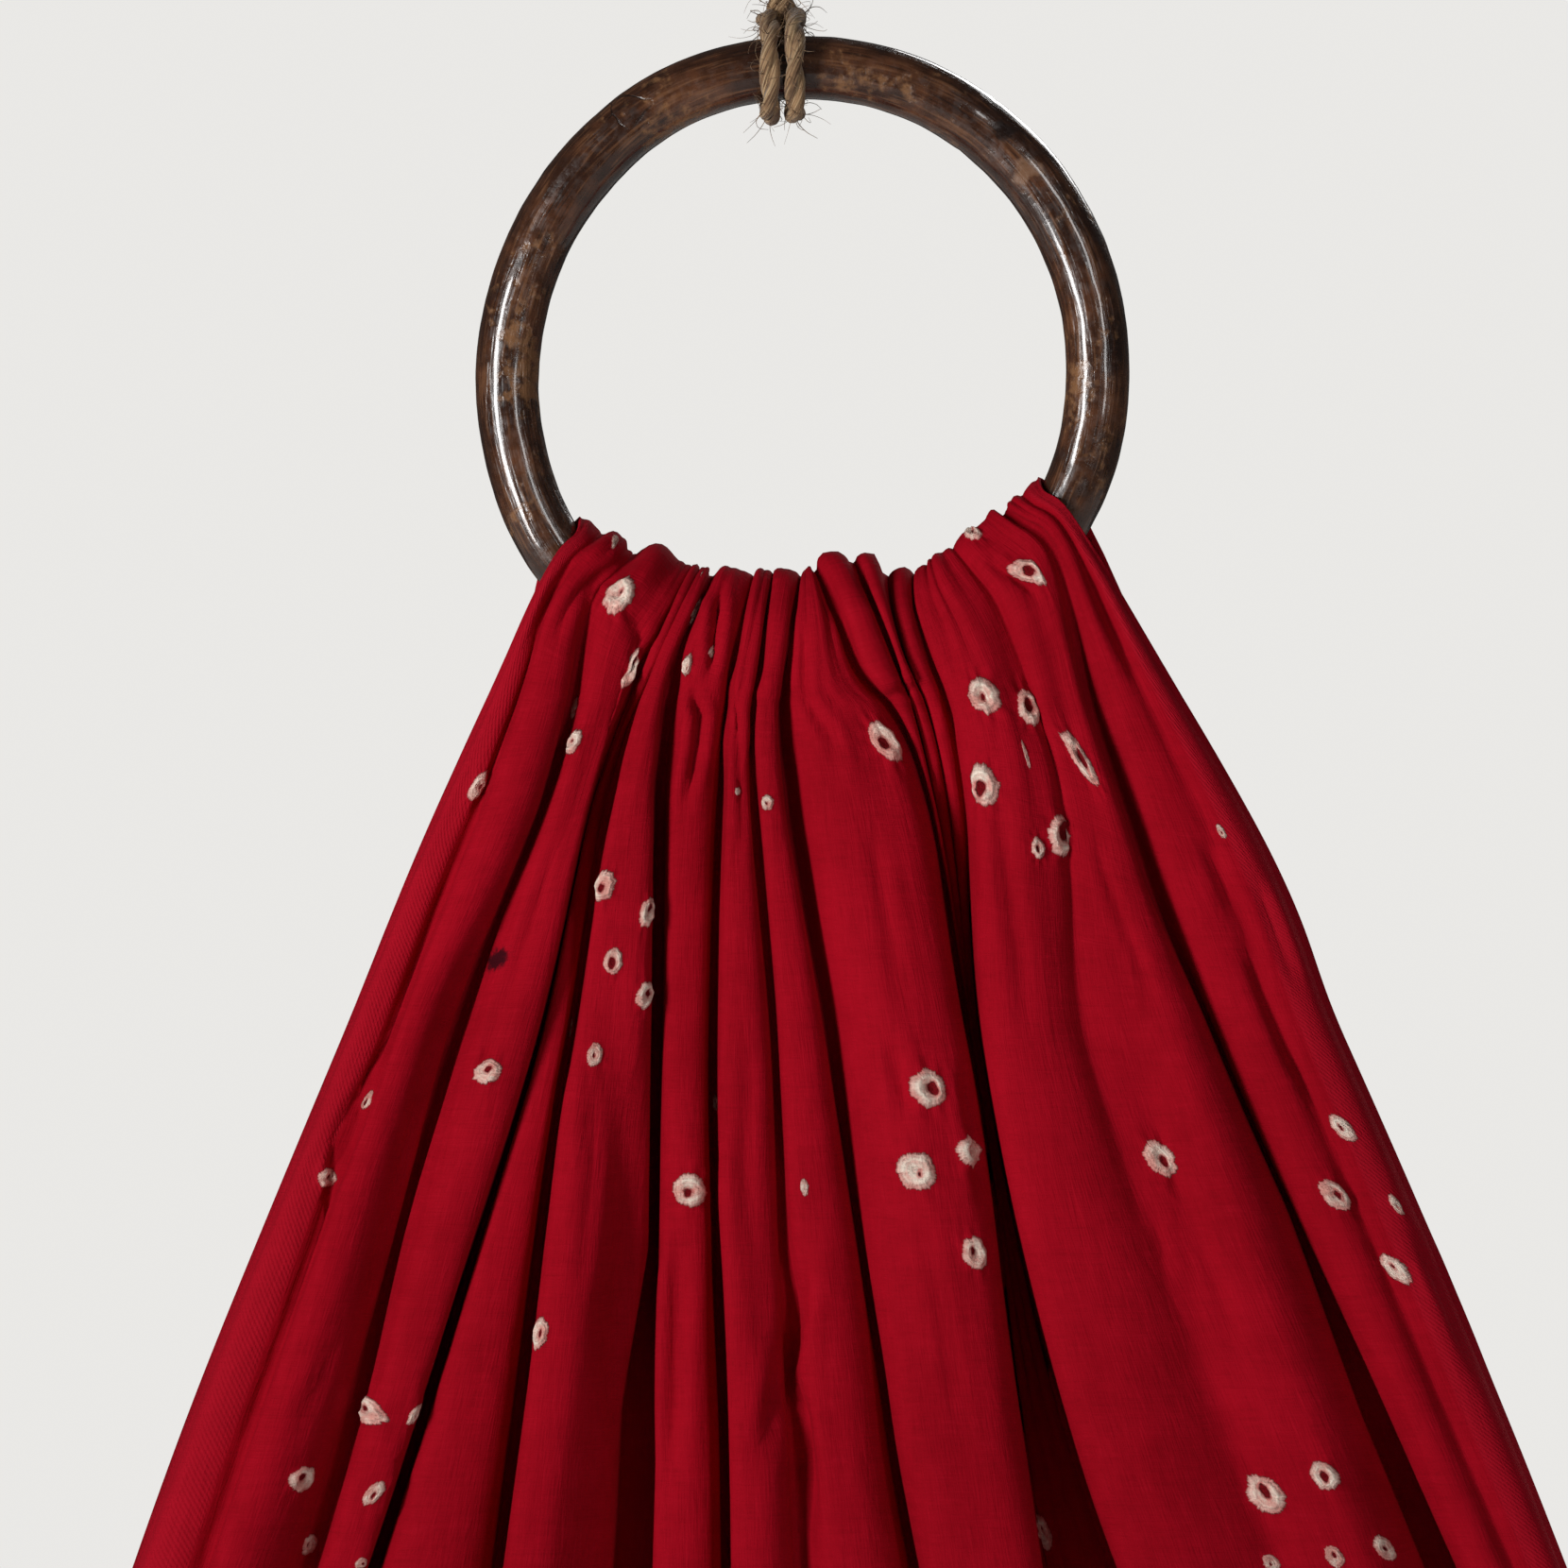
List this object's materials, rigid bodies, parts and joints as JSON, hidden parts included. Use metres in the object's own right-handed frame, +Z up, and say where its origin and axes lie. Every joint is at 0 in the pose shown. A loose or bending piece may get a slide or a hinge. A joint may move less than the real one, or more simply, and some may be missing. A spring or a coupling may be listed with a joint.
{
  "type": "tie-dyed cotton cloth drawn through a hanging ring",
  "caption": "Red tie-dyed cotton cloth drawn through a lacquered wooden ring, gathered there and falling in folds, hung from a jute twine hitch with an eye.",
  "frame": {"origin": "where a hook bears, inside the top of the twine's eye", "axes": "+Z up, the way the part hangs; +Y from the front of the cloth to its back; +X to the right as seen from the front"},
  "size_m": [0.2511, 0.0549, 0.3389],
  "materials": {
    "lacquered_wood": "dark brown lacquer, mottled and glossy",
    "red_cotton": "plain woven cotton, tied and dyed with cream dots",
    "jute": "hairy two-ply jute"
  },
  "bodies": {
    "root": {"ring": "lacquered_wood", "cloth": "red_cotton", "twine_hitch": "jute", "twine_tail_front": "jute", "twine_tail_back": "jute", "twine_knot": "jute"}
  },
  "joints": []
}
